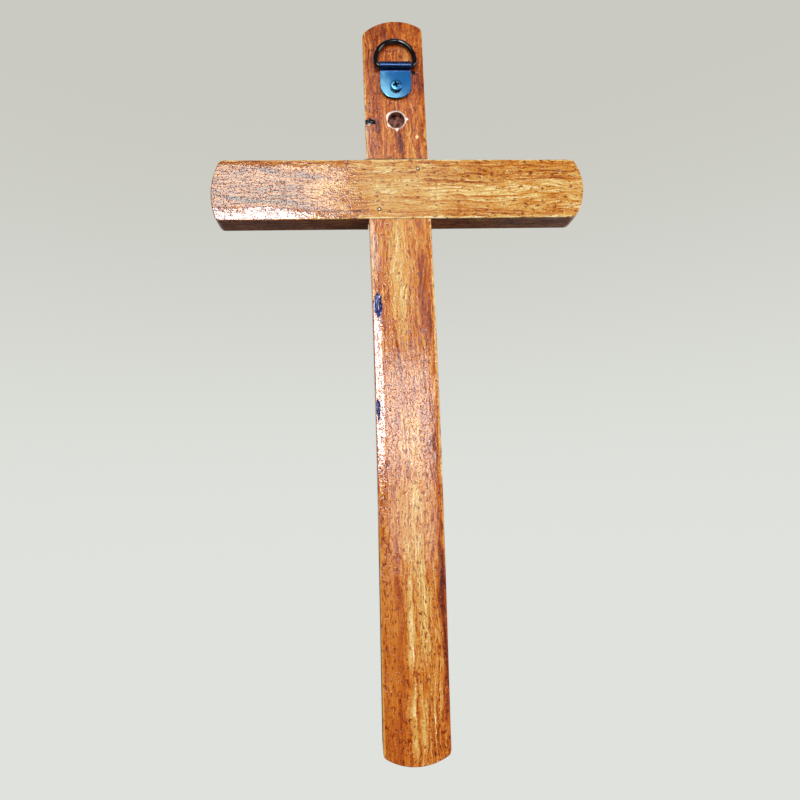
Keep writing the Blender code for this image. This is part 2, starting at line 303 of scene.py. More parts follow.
def softbox(name, target, sideways, upward, away, width, height, brightness, colour):
    """A rectangle of light that faces a target, in metres and degrees; 0 sideways is behind the camera."""
    turn, lift = math.radians(sideways), math.radians(upward)
    towards = Vector((math.sin(turn) * math.cos(lift), -math.cos(turn) * math.cos(lift), math.sin(lift)))
    lamp = bpy.data.lights.new(name, "AREA")
    lamp.shape = "RECTANGLE"
    lamp.size = width
    lamp.size_y = height
    lamp.energy = brightness * math.pi * width * height
    lamp.color = colour
    holder = bpy.data.objects.new(name, lamp)
    holder.location = target + towards * away
    holder.rotation_euler = towards.to_track_quat("Z", "Y").to_euler()
    holder.visible_camera = False
    bpy.context.scene.collection.objects.link(holder)


for row in (
    ("window_left", crossing, -14, 4, 1.2, 0.30, 0.35, 24.5, (0.97, 0.98, 1.0)),
    ("wall_by_window", crossing, -13, 24, 1.2, 0.40, 0.30, 10.0, (0.88, 0.98, 0.92)),
    ("patch_behind_camera", lower_back, 4, 6, 1.2, 0.22, 0.26, 5.8, (0.86, 0.98, 0.96)),
    ("patch_below_it", lower_back, 4, 1, 1.2, 0.24, 0.46, 3.3, (0.90, 0.98, 0.95)),
    ("high_patch", ring_axis, 4, 28, 1.2, 0.26, 0.34, 0.7, (0.90, 0.95, 1.0)),
    ("window_right", crossing, 60, 6, 0.7, 0.44, 0.36, 5.3, (1.0, 0.97, 0.95)),
    ("overhead", crossing, 10, 84, 1.2, 0.50, 0.40, 0.5, (0.95, 0.95, 1.0)),
    ("floor_bounce", crossing, 45, -48, 1.2, 0.80, 0.60, 0.8, (1.0, 0.93, 0.88)),
    ("behind_left", crossing, 215, 18, 1.4, 1.80, 1.50, 1.2, WHITE),
    ("behind_right", crossing, 140, 12, 1.4, 1.50, 1.40, 0.8, WHITE),
):
    softbox(*row)

# %% [markdown]
# ## Wood: finding the way in a plank
#
# Everything in wood follows the plank's length, so the finish works in millimetres across, along and into
# its beam, counted from the crossing. These come from object coordinates, so the figure stays on the wood
# at any pose. Real fibres wander too. Two slow noises push the place across by a few millimetres, and what
# follows the fibres reads that warped place.

# %% Define a plank
WANDERINGS = (
    ((0.08, 0.035, 0.05), 3.0, 5.0),
    ((0.50, 0.160, 0.20), 2.0, 1.6),
)
END_SLOPES = (0.60, 0.92)


class Plank(Finish):
    """A wood finish; each wandering is its noise's rates, detail and reach."""

    def __init__(self, name, along_x, seed):
        super().__init__(name)
        place = self.coordinates()
        x, y, z = (self.times(self.minus(self.part(place, axis), start), 1 / MM)
                   for axis, start in enumerate(crossing))
        self.across, self.along = (z, x) if along_x else (x, z)
        self.depth = y
        self.from_middle = self.off(y, THICKNESS / MM / 2)
        self.far = self.plus(self.along, seed)
        self.warped = self.across
        for rates, detail, reach in WANDERINGS:
            push = self.grit(self.stretched((self.across, self.far, y), rates), 1.0, detail)
            self.warped = self.times_plus(self.minus(push, 0.5), reach, self.warped)
        endways = self.maths("ABSOLUTE", self.part(self.coordinates("Normal"), 0 if along_x else 2))
        self.on_end = self.step(endways, *END_SLOPES)

    def fibres(self, rates, detail=2.0):
        """A noise that follows the fibres, stretched by its rates across, along and into the wood."""
        return self.grit(self.stretched((self.warped, self.far, self.depth), rates), 1.0, detail)

    def streaks(self, fine, long, reach):
        """Long streaks that make the tone go up and down by a part of reach."""
        both_ways = self.minus(self.fibres((fine, long, fine * 0.5), 3.0), 0.5)
        return self.times(both_ways, reach)


print("fibres wander by up to", WANDERINGS[0][2] / 2, "mm")

# %% [markdown]
# ## Wood: the figure
#
# A plank's colour isn't noise: it is long stripes that lie side by side, lean, start and end. So the tone of
# the wood, from 0 for nearly black to 1 for cream, starts as a sum of rows of stripes with real places in
# millimetres. Each row runs through the thickness, as in a sawn plank, and shows on the front too. On the
# narrow sides, where one row would be a broad dark block, the sum is weaker.

# %% Define stripes
STRIPE_STRENGTH = 1.3
STRIPE_EDGE = (0.35, 1.25)
STRIPE_FADE = 9.0
FADE_SHARE = 0.35
FIGURE_ON_SIDE = 0.35
FIGURE_RISE = (4.4, 5.8)


def stripe(plank, across, middle, half, start, end, lean, change):
    """One stripe: its middle and half width across, its start and end along, and its change of tone."""
    centre = plank.times_plus(plank.along, lean, middle - lean * (start + end) / 2)
    core, edge = [half * share for share in STRIPE_EDGE]
    beside = plank.step(plank.off(across, centre), core, edge, change, 0.0)
    fade = min(STRIPE_FADE, (end - start) * FADE_SHARE)
    past = plank.off(plank.along, (start + end) / 2)
    inside = plank.step(past, (end - start) / 2 - fade, (end - start) / 2 + fade * 0.5, 1.0, 0.0)
    return plank.times(beside, inside)


def figure(plank, stripes, base_tone):
    total = 0.0
    for row in stripes:
        total = plank.times_plus(stripe(plank, plank.warped, *row), STRIPE_STRENGTH, total)
    share = plank.step(plank.from_middle, *FIGURE_RISE, FIGURE_ON_SIDE, 1.0)
    return plank.times_plus(total, share, base_tone)


print("the figure starts to weaken", FIGURE_RISE[1], "mm from the middle of the thickness")

# %% [markdown]
# ## Wood: streaks, flecks and pores
#
# Between the stripes lies what the eye reads as grain: long streaks, short pale and dark flecks, and open
# pores that gather in rows. The flecks are partly grain and partly painted light: the pale ones are painted
# glints and the dark ones painted shade, as tiny bumps in the varnish would show them. All of it is one noise
# stretched along the fibres at different rates. One row, made like a stripe, names a calm stretch of the
# plank where the streaks and pale flecks are fainter.

# %% Define the grain
BROAD_STREAKS = (0.28, 0.012, 0.26)
LIVELY_STREAKS = ((0.8, 0.03, 0.40), (1.4, 0.10, 1.15))
PORE_ROWS = (0.45, 0.010, 0.30)
PORE_RATES = (1.6, 0.42, 2.0)
PORE_EDGES = (0.55, 0.65)
FLECK_RATES = (1.9, 1.3, 2.0)
PALE_FLECKS_AND_GLINTS = (0.58, 0.66, 0.0, 0.22)
DARK_FLECKS_AND_SHADE = (0.32, 0.40, -0.14, 0.0)
CALM_ON_END = -0.6


def grain(plank, tone, calm):
    lively = plank.plus(1.0, stripe(plank, plank.across, *calm))
    lively = plank.times_plus(plank.on_end, CALM_ON_END, lively)
    tone = plank.plus(tone, plank.streaks(*BROAD_STREAKS))
    for rates in LIVELY_STREAKS:
        tone = plank.times_plus(plank.streaks(*rates), lively, tone)
    flecks = plank.fibres(FLECK_RATES)
    # Pale flecks are partly grain and partly painted glints; dark flecks partly grain and partly painted
    # shade.
    tone = plank.times_plus(plank.step(flecks, *PALE_FLECKS_AND_GLINTS), lively, tone)
    return plank.plus(tone, plank.step(flecks, *DARK_FLECKS_AND_SHADE))


def open_pores(plank):
    """1 in a pore and 0 beside it."""
    gathered = plank.plus(plank.fibres(PORE_RATES), plank.streaks(*PORE_ROWS))
    return plank.step(gathered, *PORE_EDGES)


print("kinds of streak:", 1 + len(LIVELY_STREAKS))

# %% [markdown]
# ## Wood: sides, rims, ends and knots
#
# A beam isn't the same on all its surfaces. Its narrow sides are darker, partly stain and partly painted
# shade, and its long rims are painted paler, a painted highlight along the eased edges. Its cut ends are
# darker still and show year rings, which are circles round the pith of the trunk, a few centimetres away. A
# knot is a dark heart with fine rings round it that fade out.

# %% Define what differs from place to place
SIDE_RISE = (5.0, 5.8)
RIM_RISE = (4.8, 5.4)
RIM_HIGHLIGHT_BAND = (11.9, 12.5, 0.0, 0.20)
PITH = (-14.0, 30.0, 0.0)
YEARS_PER_MM = 4.2 / math.tau
YEAR_TONES = (0.07, -0.10)
KNOT_RINGS = (7.0, 0.03)
RINGS_FADE = (0.8, 3.2, 1.0, 0.0)
HEART_FADE = (0.5, 1.5, 1.0, 0.0)


def surfaces(plank, tone, side_stain_and_shade):
    # The narrow sides and ends are darkened, partly stain and partly painted shade.
    tone = plank.plus(tone, plank.step(plank.from_middle, *SIDE_RISE, side_stain_and_shade, 0.0))
    # A painted highlight: the long rims near the faces are made paler.
    rim_highlight = plank.step(plank.maths("ABSOLUTE", plank.across), *RIM_HIGHLIGHT_BAND)
    tone = plank.times_plus(rim_highlight, plank.step(plank.from_middle, *RIM_RISE), tone)
    spot = plank.point(plank.warped, plank.depth, 0.0)
    from_pith = plank.node("VectorMath", {0: spot, 1: PITH}, 1, operation="DISTANCE")
    years = plank.maths("SINE", plank.times(from_pith, YEARS_PER_MM * math.tau))
    return plank.times_plus(plank.times_plus(years, *YEAR_TONES), plank.on_end, tone)


def knotted(plank, tone, knots):
    """Each knot is its place across and along, its half sizes and how dark it is; a pale one has a minus."""
    rate, reach = KNOT_RINGS
    for middle, height, wide, tall, dark in knots:
        sideways = plank.maths("DIVIDE", plank.off(plank.across, middle), wide)
        away = plank.plus(sideways, plank.maths("DIVIDE", plank.off(plank.along, height), tall))
        rings = plank.maths("SINE", plank.times(away, rate))
        rings = plank.times(rings, plank.step(away, *RINGS_FADE))
        tone = plank.times_plus(rings, reach, tone)
        tone = plank.times_plus(plank.step(away, *HEART_FADE), -dark, tone)
    return tone


print("a year is", round(1 / YEARS_PER_MM, 1), "mm of wood")

# %% [markdown]
# ## Wood: the varnish
#
# Brushed varnish isn't flat. It swells with the brush, dips over open pores and has dents and fine dimples,
# and those tiny slopes break a window's reflection into sparkles. That is height, not colour, so it goes
# through Bump nodes with true depths of hundredths of a millimetre. The varnish itself is the shader's coat,
# and the wood below stays duller. On the narrow sides it was rubbed thinner, so it is satin there.

# %% Write the wood recipe
TONE_STOPS = (0.00, 0.16, 0.34, 0.50, 0.64, 0.80, 1.00)
PORE_TINT = (0.42, 0.18, 0.07, 1.0)
BRUSH_RATES = (0.35, 0.12, 1.0)
BRUSH_DEPTH = 0.120 * MM
DENTS = (1.6, 1.0, 0.40)
DENT_EDGES = (0.54, 0.78)
DENT_RISE = (5.5, 5.9)
DENT_DEPTH = 0.055 * MM
DIMPLES = (1.5, 1.0, 0.35)
DIMPLE_DEPTH = 0.020 * MM
PORE_DEPTH = 0.035 * MM
SATIN_FADE = (3.6, 4.8)
COAT_WEIGHTS = (0.70, 1.0)
COAT_ROUGHNESS = (0.32, 0.065)


def satin_sides(plank, values):
    """The first value on the middle of a side, and the second on the faces."""
    return plank.step(plank.from_middle, *SATIN_FADE, *values)


def varnish(plank, pores):
    spot = plank.point(plank.across, plank.along, plank.depth)
    brushed = plank.grit(plank.stretched((plank.across, plank.along, plank.depth), BRUSH_RATES))
    dents = plank.step(plank.grit(spot, *DENTS), *DENT_EDGES)
    dents = plank.times(dents, plank.step(plank.from_middle, *DENT_RISE))
    slopes = plank.bump(brushed, BRUSH_DEPTH)
    slopes = plank.bump(dents, DENT_DEPTH, Normal=slopes)
    slopes = plank.bump(plank.grit(spot, *DIMPLES), DIMPLE_DEPTH, Normal=slopes)
    slopes = plank.bump(plank.minus(1.0, pores), PORE_DEPTH, Normal=slopes)
    plank.set(coat_weight=satin_sides(plank, COAT_WEIGHTS), coat_roughness=satin_sides(plank, COAT_ROUGHNESS))
    return plank.set(coat_ior=1.6, normal=slopes, coat_normal=slopes)


def wood(name, along_x, colours, stripes, knots, calm, base_tone, side_stain_and_shade, seed):
    plank = Plank(name, along_x, seed)
    tone = figure(plank, stripes, base_tone)
    tone = grain(plank, tone, calm)
    tone = surfaces(plank, tone, side_stain_and_shade)
    tone = knotted(plank, tone, knots)
    colour = plank.ramp(tone, [(stop, paint(*mix)) for stop, mix in zip(TONE_STOPS, colours)])
    pores = open_pores(plank)
    colour = plank.blend(pores, colour, plank.blend(1.0, colour, PORE_TINT, "MULTIPLY"))
    plank.set(base_color=colour, roughness=0.50, specular_ior_level=0.0)
    return varnish(plank, pores)


print("deepest dimple in mm:", DIMPLE_DEPTH / MM)

# %% [markdown]
# ## Wood: the two beams
#
# Each row of stripes is one thing seen on the back of the real cross: across, half width, from, to, lean
# and change of tone. The upright has a golden heart between redder edges and a long dark line that wanders
# down it. The crossbar was cut from a lighter plank, with cream bands and thin dark lines along its whole
# length. One ramp of seven colours for each beam, dark to pale, turns its tone into colour.

# %% Mix the two woods
UPRIGHT_COLOURS = ((84, 26, 10), (126, 46, 10), (170, 76, 15), (200, 114, 34), (207, 144, 65), (216, 172, 98),
                   (244, 216, 164))
BAR_COLOURS = ((56, 20, 8), (116, 46, 12), (160, 82, 22), (190, 116, 38), (200, 142, 65), (212, 174, 102),
               (244, 222, 172))
UPRIGHT_STRIPES = (
    (-9.0, 4.0, 12, 80, 0.00, -0.04),
    (5.0, 2.2, 52, 76, 0.02, 0.10),
    (0.0, 20.0, 12, 62, 0.00, -0.10),
    (0.0, 20.0, 58, 110, 0.00, -0.17),
    (8.6, 3.4, 40, 60, 0.00, -0.16),
    (1.4, 1.8, 12, 26, -0.22, -0.22),
    (5.0, 2.6, 12, 28, 0.00, 0.08),
    (-8.4, 1.6, 25, 31, 0.30, -0.14),
    (-0.9, 4.2, -66, -10, 0.02, 0.16),
    (-9.6, 0.5, -62, -12, 0.00, -0.16),
    (8.6, 3.6, -64, -22, 0.00, -0.09),
    (-8.8, 3.0, -62, -8, 0.00, -0.05),
    (0.0, 20.0, -126, -50, 0.00, -0.07),
    (7.2, 0.7, -50, -24, 0.00, -0.14),
    (9.0, 0.6, -60, -34, 0.02, -0.14),
    (10.9, 0.8, -66, -42, 0.00, -0.15),
    (-3.0, 0.6, -80, -50, -0.07, -0.20),
    (-1.6, 0.45, -108, -78, -0.04, -0.14),
    (-0.3, 0.4, -166, -100, -0.01, -0.12),
    (6.6, 0.5, -63, -46, 0.00, 0.14),
    (1.4, 4.6, -160, -90, 0.00, 0.13),
    (-8.0, 5.0, -232, -172, 0.00, -0.05),
    (0.0, 20.0, -236, -204, 0.00, -0.06),
    (-5.8, 1.3, -168, -138, -0.02, -0.14),
    (10.6, 2.2, -165, -84, 0.00, -0.10),
    (-4.6, 1.5, -214, -158, 0.00, -0.07),
    (-1.1, 1.1, -190, -156, 0.00, 0.30),
    (-0.8, 0.9, -224, -193, 0.01, 0.22),
    (3.6, 2.4, -190, -152, 0.00, 0.16),
    (2.6, 1.4, -222, -190, 0.00, 0.09),
    (1.7, 0.8, -224, -203, 0.03, 0.16),
    (6.8, 0.6, -214, -202, 0.00, 0.20),
    (12.4, 2.2, -209, -146, 0.00, -0.32),
)
UPRIGHT_KNOTS = (
    (-10.8, 29.4, 2.0, 1.9, 0.40),
    (9.4, 51.2, 2.2, 1.3, 0.12),
    (8.4, 22.6, 0.9, 0.8, -0.60),
    (-4.6, 70.0, 1.4, 3.4, 0.16),
    (-10.2, -49.0, 2.4, 5.2, 0.30),
    (-10.4, -91.5, 1.8, 4.2, 0.26),
    (0.2, -191.4, 1.7, 1.5, 0.26),
)
UPRIGHT_CALM = (-9.0, 7.0, -228, -148, 0.00, -0.65)
BAR_CALM = (0.0, 2.0, -80, -60, 0.00, -0.10)
BAR_STRIPES = (
    (11.6, 0.5, -74, 76, 0.00, -0.12),
    (6.4, 1.2, -62, -20, -0.12, -0.13),
    (-4.6, 1.0, -76, -36, -0.09, -0.13),
    (-8.8, 0.8, -42, -8, -0.07, -0.16),
    (8.0, 3.4, 10, 80, 0.00, -0.08),
    (10.1, 0.35, 12, 70, 0.00, -0.12),
    (7.3, 0.35, 20, 78, 0.01, -0.12),
    (3.2, 0.55, 8, 44, -0.02, -0.26),
    (4.3, 0.55, 42, 80, 0.02, -0.18),
    (-1.0, 3.4, 10, 78, 0.00, 0.07),
    (-2.8, 0.4, 18, 74, 0.00, -0.16),
    (-0.6, 0.4, 24, 60, 0.01, 0.08),
    (-9.8, 1.3, 8, 76, 0.00, -0.10),
    (-11.0, 0.4, 12, 60, 0.00, -0.12),
    (0.5, 4.5, -40, 12, 0.00, 0.06),
    (0.0, 20.0, -84, -12, 0.00, -0.12),
    (-2.0, 16.0, -92, -34, 0.00, -0.14),
)
BAR_KNOTS = ((1.2, 58.0, 0.8, 2.2, 0.12),)
upright_wood = wood("upright_varnished_wood", False, UPRIGHT_COLOURS, UPRIGHT_STRIPES, UPRIGHT_KNOTS,
                    UPRIGHT_CALM, base_tone=0.52, side_stain_and_shade=-0.30, seed=40.0)
bar_wood = wood("crossbar_varnished_wood", True, BAR_COLOURS, BAR_STRIPES, BAR_KNOTS,
                BAR_CALM, base_tone=0.65, side_stain_and_shade=-0.26, seed=410.0)
print("stripes:", len(UPRIGHT_STRIPES) + len(BAR_STRIPES), "knots:", len(UPRIGHT_KNOTS) + len(BAR_KNOTS))

# %% [markdown]
# ## Cut surfaces
#
# Where a drill or a knot opened the wood, other finishes show: a pale chipped rim, raw brown walls with no
# varnish, and voids that were filled with glossy blue-black resin. The rim's near-white is partly chipped
# wood and partly a painted highlight, and the voids' pale blue flecks are painted glints. The notch faces,
# seen only through the seams, are painted dark as the shade in those gaps. Each is its own small finish, so
# that a cutter can hand it to the faces it makes.

# %% Mix the finishes of holes and voids
def grainy(name, dark, pale, scale, rough, coat, dent):
    """A finish that wavers between two colours, with small dents."""
    finish = Finish(name)
    waver = finish.grit(finish.coordinates(), scale, 4.0, 0.6)
    colour = finish.blend(finish.step(waver, 0.36, 0.64), paint(*dark), paint(*pale))
    finish.set(base_color=colour, roughness=rough, specular_ior_level=0.15, normal=finish.bump(waver, dent))
    return finish.set(coat_weight=coat, coat_roughness=0.08)


# The nail hole's near-white rim: partly pale chipped wood, partly a painted highlight.
rim_chips_and_highlight_finish = grainy("pale_chipped_rim_and_painted_highlight", (238, 204, 186), (255, 250, 244), 1500, 0.45, 0.8, 0.10 * MM)
raw_finish = grainy("raw_hole_wood", (58, 24, 18), (160, 104, 88), 420, 0.7, 0.0, 0.15 * MM)
# Blue-black resin; its pale blue flecks are painted glints.
void_resin_and_glints_finish = grainy("black_resin_void_and_painted_glints", (5, 7, 26), (48, 64, 150), 1100, 0.25, 1.0, 0.08 * MM)
# Notch faces, seen only through the seams, painted dark as the shade in the gap.
seam_shade_finish = grainy("dark_seam_painted_shade", (18, 8, 6), (50, 22, 14), 900, 0.7, 0.0, 0.05 * MM)
knot_finish = grainy("black_knot", (2, 2, 5), (12, 9, 14), 900, 0.25, 1.0, 0.06 * MM)
crater_finish = grainy("varnished_crater", (96, 30, 14), (190, 96, 50), 1100, 0.3, 1.0, 0.08 * MM)
CUT_FINISHES = [rim_chips_and_highlight_finish, raw_finish, void_resin_and_glints_finish, seam_shade_finish, knot_finish, crater_finish]
WOOD_SLOTS = {"rim": 1, "raw": 2, "void": 3, "seam": 4, "knot": 5, "crater": 6}
print("slots behind the wood's own:", WOOD_SLOTS)

# %% [markdown]
# ## Metal: the hanger's finishes
#
# The strap and the screw are blued steel: a metal whose own colour is blue, so it only shows what it
# mirrors, tinted. It is paler towards its lower left. The strap's rolled loop is painted navy, a painted dark
# reflection, and its cut edges, the screw head's low side and the screw's recess are painted near black, a
# painted shade. The ring is black and glossy, like a thick dark varnish on wire, so it is a dark base under a
# coat. Smudges and specks are noise.

# %% Mix the metals
SCREW_Z = ring_axis.z - 9.1 * MM
PALER_TO_LEFT = 0.034 / MM
PALER_BELOW = 0.040 / MM
SMUDGE_SHARE = 0.5
SPECK = paint(214, 232, 240)
SPECK_EDGES = (0.71, 0.76)


def blued(name, smudge_scale, gloss, deep, pale, coat=0.0):
    finish = Finish(name)
    place = finish.coordinates()
    smudges = finish.grit(place, smudge_scale, 3.0, 0.55)
    specks = finish.step(finish.grit(place, 2600.0, 1.0), *SPECK_EDGES)
    # Paler towards the lower left and below the screw.
    left = finish.times(finish.minus(finish.part(place, 0), ring_axis.x), -PALER_TO_LEFT)
    below = finish.times(finish.minus(finish.part(place, 2), SCREW_Z), -PALER_BELOW)
    share = finish.plus(finish.plus(left, below), finish.times(smudges, SMUDGE_SHARE))
    colour = finish.blend(finish.step(share, 0.0, 0.55), paint(*deep), paint(*pale))
    colour = finish.blend(specks, colour, SPECK)
    rough = finish.step(smudges, 0.25, 0.75, gloss - 0.03, gloss + 0.08)
    uneven = finish.bump(finish.grit(place, 900.0, 2.0), 0.006 * MM)
    finish.set(base_color=colour, metallic=1.0, roughness=rough, normal=uneven)
    return finish.set(coat_weight=coat, coat_roughness=0.12, coat_ior=1.6)


def black_gloss(name):
    finish = Finish(name)
    wear = finish.grit(finish.coordinates(), 420.0, 4.0, 0.6)
    colour = finish.blend(finish.step(wear, 0.45, 0.80), paint(3, 3, 5), paint(22, 21, 30))
    uneven = finish.bump(wear, 0.012 * MM)
    finish.set(base_color=colour, roughness=0.30, specular_ior_level=0.05, normal=uneven)
    return finish.set(coat_weight=1.0, coat_roughness=0.06, coat_ior=1.5, coat_tint=paint(206, 206, 255))


strap_finish = blued("blued_strap_steel", 150.0, 0.20, (48, 122, 192), (144, 212, 250))
# The rolled loop is painted navy, a painted dark reflection.
loop_dark_reflection_finish = blued("navy_rolled_steel_painted_dark_reflection", 300.0, 0.24, (10, 48, 100), (20, 72, 132), 0.6)
screw_finish = blued("blued_screw_steel", 600.0, 0.34, (56, 126, 190), (92, 164, 220))
ring_finish = black_gloss("black_ring_steel")
# The cross recess is painted near black, a painted shade in the hollow.
recess_shade_finish = grainy("screw_recess_painted_shade", (1, 1, 2), (4, 5, 9), 1200, 0.6, 0.0, 0.02 * MM)
# Near black on the strap's cut edges and the screw head's low side: a painted shade.
edge_shade_finish = grainy("dark_edge_painted_shade", (1, 1, 4), (6, 8, 16), 900, 0.5, 0.0, 0.01 * MM)
pin_finish = grainy("pin_head", (206, 176, 138), (246, 226, 190), 2200, 0.34, 0.6, 0.03 * MM)
pin_side_finish = grainy("dark_pin_ring", (22, 11, 7), (52, 28, 18), 1800, 0.7, 0.0, 0.02 * MM)
print("metals mixed:", strap_finish.name, screw_finish.name, ring_finish.name)

# %% [markdown]
# ## Helpers for making pieces
#
# A bmesh is only a workbench: at the end it is written into a mesh, and a new object carries that mesh.
# Holes are cut by a Boolean, which gives each new face the slot number of the cutter's face. The cut is
# applied at once and the cutters are removed, so that a finished piece holds nothing but its own shape.

# %% Define how a piece is finished and cut
SHARP_ANGLE = 32


def to_object(name, bm, finishes=()):
    mesh = bpy.data.meshes.new(name)
    bm.to_mesh(mesh)
    bm.free()
    for finish in finishes:
        mesh.materials.append(finish)
    piece = bpy.data.objects.new(name, mesh)
    bpy.context.scene.collection.objects.link(piece)
    return piece


def baked_mesh(thing):
    """The mesh of an object as it stands, with its modifiers or its curve's bevel worked in."""
    return bpy.data.meshes.new_from_object(thing.evaluated_get(bpy.context.evaluated_depsgraph_get()))


def cut(piece, cutters, operation="DIFFERENCE"):
    for cutter in cutters:
        boolean = piece.modifiers.new("cut", "BOOLEAN")
        boolean.operation = operation
        boolean.solver = "EXACT"
        boolean.object = cutter
    shape = baked_mesh(piece)
    piece.modifiers.clear()
    piece.data = shape
    for cutter in cutters:
        bpy.data.objects.remove(cutter, do_unlink=True)


def smooth(piece, angle=SHARP_ANGLE):
    piece.data.shade_smooth()
    piece.data.set_sharp_from_angle(angle=math.radians(angle))


def even_normals(piece):
    """Large flat faces keep their own shading, and the rounded edges take the bend."""
    weighted = piece.modifiers.new("even_normals", "WEIGHTED_NORMAL")
    weighted.keep_sharp = True


print("edges of over", SHARP_ANGLE, "degrees stay sharp")

# %% [markdown]
# ## Helpers for shapes
#
# Most small parts are a box or something turned, so both are made the same way each time. A turned shape is
# made along Z, as on a lathe, and then pointed into the wood or out of it. Numbering a cutter's faces before
# the cut is what gives a hole its own finish.

# %% Define boxes, turned shapes and turns
MERGE = 0.001 * MM


def block(low, high):
    """A box between two corners."""
    bm = bmesh.new()
    bmesh.ops.create_cube(bm, size=1.0)
    bmesh.ops.scale(bm, vec=Vector(high) - Vector(low), verts=bm.verts)
    bmesh.ops.translate(bm, vec=(Vector(high) + Vector(low)) / 2, verts=bm.verts)
    return bm


def turned(profile, steps=48):
    """A shape spun round Z from (radius, height) points; a pole lies on the axis at both ends."""
    bm = bmesh.new()
    points = [bm.verts.new((radius, 0, height)) for radius, height in profile]
    lines = [bm.edges.new(pair) for pair in zip(points, points[1:])]
    bmesh.ops.spin(bm, geom=points + lines, cent=(0, 0, 0), axis=(0, 0, 1),
                   angle=math.tau, steps=steps, use_merge=True)
    bmesh.ops.remove_doubles(bm, verts=bm.verts, dist=MERGE)
    bmesh.ops.recalc_face_normals(bm, faces=bm.faces)
    return bm


def turn(bm, degrees, axis):
    turning = Matrix.Rotation(math.radians(degrees), 3, axis)
    bmesh.ops.rotate(bm, cent=(0, 0, 0), matrix=turning, verts=bm.verts)


def point_into_wood(bm, place):
    """Turns a shape made along +Z so that it points into the wood, and puts it in its place."""
    turn(bm, -90, "X")
    bmesh.ops.translate(bm, vec=place, verts=bm.verts)
    return bm


def give_slot(bm, number):
    for face in bm.faces:
        face.material_index = number


def drill(radius, depth, place):
    """A straight bit that starts above the wood, for a hole with raw walls."""
    start = -1.5 * MM
    bm = turned([(0, start), (radius, start), (radius, depth), (0, depth)], 32)
    give_slot(bm, WOOD_SLOTS["raw"])
    return to_object("drill", point_into_wood(bm, place))


print("points closer than", MERGE / MM, "mm are merged")

# %% [markdown]
# ## The beam blank
#
# Each beam is a flat stick with bowed ends. It could be a box with an arc cut off, but it is simpler to draw
# the outline: one corner is spun round the arc's centre at each end, the four corners are rounded, and the
# face is pushed to the beam's thickness. The rims are then eased, all the way where the beam is halved away,
# and only up to the joint where it runs through, because the real rims stay square where the beams meet.

# %% Make a beam blank
CORNER_RADIUS = 1.8 * MM
RIM_RADIUS = 1.5 * MM
RIM_STEPS = 6
BOW_STEPS = 28
HALF = BEAM_WIDTH / 2
JOINT_EDGE = HALF + 0.3 * MM
NEAR = 0.01 * MM
UP = Vector((0, 0, 1))
SIDEWAYS = Vector((1, 0, 0))


def bowed_end(bm, reach, rise, apex, sign):
    """Draws one bowed end from its first corner; sign is +1 for the high end and -1 for the low one."""
    far = HALF + abs(apex)
    radius = (far**2 + rise**2) / (2 * rise)
    sweep = math.asin((HALF - apex) / radius) + math.asin((HALF + apex) / radius)
    start_x = -HALF * sign
    drop = radius - math.sqrt(radius**2 - (start_x - apex) ** 2)
    corner = bm.verts.new((start_x, 0, sign * (reach - drop)))
    bmesh.ops.spin(bm, geom=[corner], cent=(apex, 0, sign * (reach - radius)), axis=(0, 1, 0),
                   angle=sweep, steps=BOW_STEPS)
    return corner


def slice_beam(bm, distance, way):
    """New edges where a plane meets the beam, this far from its middle on the given way."""
    bmesh.ops.bisect_plane(bm, geom=bm.verts[:] + bm.edges[:] + bm.faces[:], dist=MERGE,
                           plane_co=way * distance, plane_no=way)


def is_free_rim(edge, back_stop, front_stop):
    """True for the rims of the back and the front that lie beyond their stop."""
    broad = [abs(face.normal.y) > 0.5 for face in edge.link_faces]
    on_back = edge.verts[0].co.y < THICKNESS / 2
    stop = back_stop if on_back else front_stop
    heights = [abs(vert.co.z) for vert in edge.verts]
    return broad.count(True) == 1 and min(heights) > stop - NEAR and sum(heights) > 2 * stop + NEAR


def beam_blank(high_end, low_end, back_stop, front_stop):
    """A beam along Z from the crossing, its back at Y = 0; each end is (reach, rise, apex shift)."""
    bm = bmesh.new()
    first = bowed_end(bm, *high_end, 1)
    top = bm.verts[:]
    second = bowed_end(bm, *low_end, -1)
    foot = bm.verts[len(top):]
    ends = [max(top, key=lambda vert: vert.co.x), first, min(foot, key=lambda vert: vert.co.x), second]
    bm.edges.new((ends[0], ends[3]))
    bm.edges.new((ends[2], ends[1]))
    bmesh.ops.contextual_create(bm, geom=bm.edges[:])
    bmesh.ops.bevel(bm, geom=ends, offset=CORNER_RADIUS, offset_type="OFFSET", segments=6,
                    profile=0.5, affect="VERTICES", material=-1)
    pushed = bmesh.ops.extrude_face_region(bm, geom=bm.faces[:])["geom"]
    bmesh.ops.translate(bm, vec=(0, THICKNESS, 0), verts=verts_of(pushed))
    bmesh.ops.recalc_face_normals(bm, faces=bm.faces)
    for stop in (back_stop, front_stop):
        slice_beam(bm, stop, UP)
        slice_beam(bm, -stop, UP)
    rims = [edge for edge in bm.edges if is_free_rim(edge, back_stop, front_stop)]
    bmesh.ops.bevel(bm, geom=rims, offset=RIM_RADIUS, offset_type="OFFSET", segments=RIM_STEPS,
                    profile=0.5, affect="EDGES", clamp_overlap=True, material=-1)
    return bm


print("beam", round(BEAM_WIDTH / MM, 1), "mm wide,", round(THICKNESS / MM, 1), "mm thick")

# %% [markdown]
# ## Sanding by hand
#
# A hand-sanded face isn't a plane. It falls away by a few tenths of a millimetre near the long edges, more
# where the sander stayed longer, and it waves a little. That slope is why the window's glare clings to the
# upright's left edge. The blank is sliced into short cells, closest together near the edges, and each vertex
# of a broad face is moved in by a formula.

